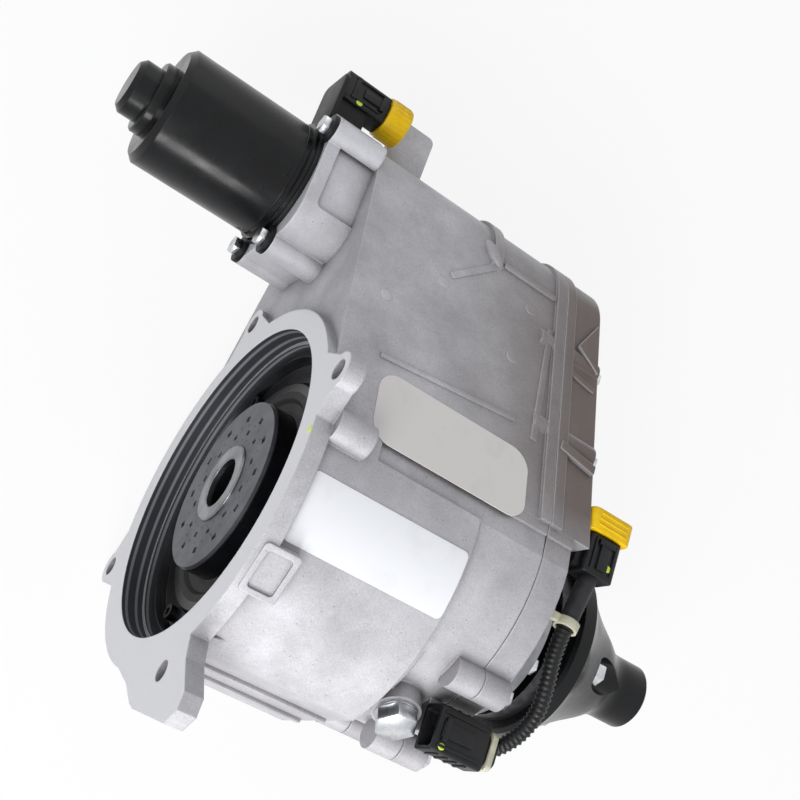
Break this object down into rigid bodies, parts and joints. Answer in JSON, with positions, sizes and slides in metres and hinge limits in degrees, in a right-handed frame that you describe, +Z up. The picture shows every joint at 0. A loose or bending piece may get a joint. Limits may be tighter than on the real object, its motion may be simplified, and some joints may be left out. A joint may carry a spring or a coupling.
{
  "type": "all-wheel-drive coupling",
  "caption": "Electrically driven clutch coupling: cast housing with an open bolt-on bell mouth, a geared motor on a side arm, a wiring harness and a flared output flange.",
  "frame": {"origin": "centre of the bell mouth, on the face that bolts to the axle housing", "axes": "+X along the main shaft toward the output flange, +Y toward the motor's arm, +Z up as pictured"},
  "size_m": [0.432, 0.392, 0.237],
  "materials": {
    "cast_grey": "matte as-cast aluminium",
    "cast_bright": "bright as-cast aluminium",
    "black_enamel": "glossy black enamel",
    "black_plate": "satin black coating",
    "zinc_steel": "zinc-plated steel",
    "ground_steel": "ground steel",
    "dark_steel": "dark oiled steel",
    "disc_grey": "grey phosphated sheet steel",
    "bearing_steel": "polished bearing steel",
    "gear_steel": "hardened gear steel",
    "friction_paper": "brown friction lining",
    "bronze": "sintered bronze",
    "copper": "copper bars",
    "magnet": "dark sintered magnet",
    "lamination": "stacked steel sheet",
    "carbon": "pressed carbon",
    "black_plastic": "moulded black plastic",
    "yellow_plastic": "moulded yellow plastic",
    "conduit_plastic": "black corrugated conduit",
    "black_rubber": "black rubber",
    "pale_plastic": "pale moulded plastic",
    "grey_fibre": "grey gasket fibre",
    "label_white": "white label film",
    "label_cream": "off-white label film"
  },
  "bodies": {
    "housing": {"arm_label": "label_cream", "barrel_label": "label_white", "bearing_retainer": "zinc_steel", "brush_holder": "black_plastic", "cap_screws": "dark_steel", "conduit": "conduit_plastic", "connector_bracket": "black_plate", "contact_pins": "copper", "cover_bolts": "zinc_steel", "cover_gasket": "grey_fibre", "dowel_pins": "ground_steel", "fill_plug": "zinc_steel", "front_ring": "dark_steel", "guide_pins": "ground_steel", "harness_clips": "pale_plastic", "idler_pin": "ground_steel", "input_bearing": "bearing_steel", "input_seal": "black_rubber", "lower_connector": "black_plastic", "main_housing": "cast_grey", "motor_bolts": "zinc_steel", "motor_brushes": "carbon", "motor_bushes": "bronze", "motor_can": "black_enamel", "motor_magnets": "magnet", "motor_plate": "black_plate", "motor_pod": "cast_bright", "output_bearing": "bearing_steel", "output_seal": "black_rubber", "plug_washer": "zinc_steel", "rear_cover": "cast_grey", "rear_thrust_bearing": "bearing_steel", "sleeve": "black_rubber", "tail_connector": "black_plastic", "upper_connector": "black_plastic"},
    "drum": {"input_drum": "dark_steel", "front_disc": "disc_grey", "hub_ring": "bearing_steel", "nose_bush": "bronze", "steel_plates": "ground_steel"},
    "output": {"output_shaft": "ground_steel", "clutch_hub": "ground_steel", "friction_plates": "friction_paper", "return_spring": "dark_steel", "output_flange": "black_enamel", "flange_bolts": "zinc_steel"},
    "pressure": {"pressure_plate": "ground_steel"},
    "ramp": {"ramp_ring": "ground_steel", "front_thrust_bearing": "bearing_steel"},
    "balls": {"ramp_balls": "bearing_steel", "ball_cage": "bronze"},
    "cam": {"cam_ring": "gear_steel"},
    "idler": {"idler_gear": "gear_steel"},
    "step": {"step_gear": "gear_steel", "step_shaft": "gear_steel"},
    "rotor": {"rotor_shaft": "ground_steel", "rotor_core": "lamination", "commutator": "copper"},
    "motor_plug_cap": {"upper_cap": "yellow_plastic"},
    "rear_plug_cap": {"lower_cap": "yellow_plastic"}
  },
  "joints": [
    {"name": "drum_spin", "type": "hinge", "parent": "housing", "child": "drum", "pos_m": [0.03, 0, 0], "axis": [1, 0, 0], "continuous": true},
    {"name": "output_spin", "type": "hinge", "parent": "housing", "child": "output", "pos_m": [0.17, 0, 0], "axis": [1, 0, 0], "continuous": true},
    {"name": "motor_spin", "type": "hinge", "parent": "housing", "child": "rotor", "pos_m": [-0.07, 0.176, 0], "axis": [1, 0, 0], "range_deg": [0, 789.9]},
    {"name": "step_spin", "type": "hinge", "parent": "housing", "child": "step", "pos_m": [0.1, 0.131, 0], "axis": [1, 0, 0], "range_deg": [-197.5, 0]},
    {"name": "idler_spin", "type": "hinge", "parent": "housing", "child": "idler", "pos_m": [0.13, 0.099, 0], "axis": [1, 0, 0], "range_deg": [0, 118.5]},
    {"name": "cam_turn", "type": "hinge", "parent": "housing", "child": "cam", "pos_m": [0.12, 0, 0], "axis": [-1, 0, 0], "range_deg": [0, 30]},
    {"name": "ramp_slide", "type": "slide", "parent": "housing", "child": "ramp", "axis": [-1, 0, 0], "range_m": [0, 0.0012]},
    {"name": "ball_orbit", "type": "hinge", "parent": "ramp", "child": "balls", "pos_m": [0.115, 0, 0], "axis": [-1, 0, 0], "range_deg": [0, 15]},
    {"name": "pressure_slide", "type": "slide", "parent": "drum", "child": "pressure", "axis": [-1, 0, 0], "range_m": [0, 0.0012], "deforming": ["return_spring"]},
    {"name": "motor_cap_pull", "type": "slide", "parent": "housing", "child": "motor_plug_cap", "axis": [1, 0, 0], "range_m": [0, 0.02]},
    {"name": "rear_cap_pull", "type": "slide", "parent": "housing", "child": "rear_plug_cap", "axis": [0, 1, 0], "range_m": [0, 0.02]}
  ],
  "couplings": [
    {"joint": "step_spin", "follows": "motor_spin", "ratio": -0.25},
    {"joint": "idler_spin", "follows": "motor_spin", "ratio": 0.15},
    {"joint": "cam_turn", "follows": "motor_spin", "ratio": 0.037975},
    {"joint": "ramp_slide", "follows": "motor_spin", "m_per_rad": 0.000087032},
    {"joint": "ball_orbit", "follows": "motor_spin", "ratio": 0.018987},
    {"joint": "pressure_slide", "follows": "motor_spin", "m_per_rad": 0.000087032}
  ]
}
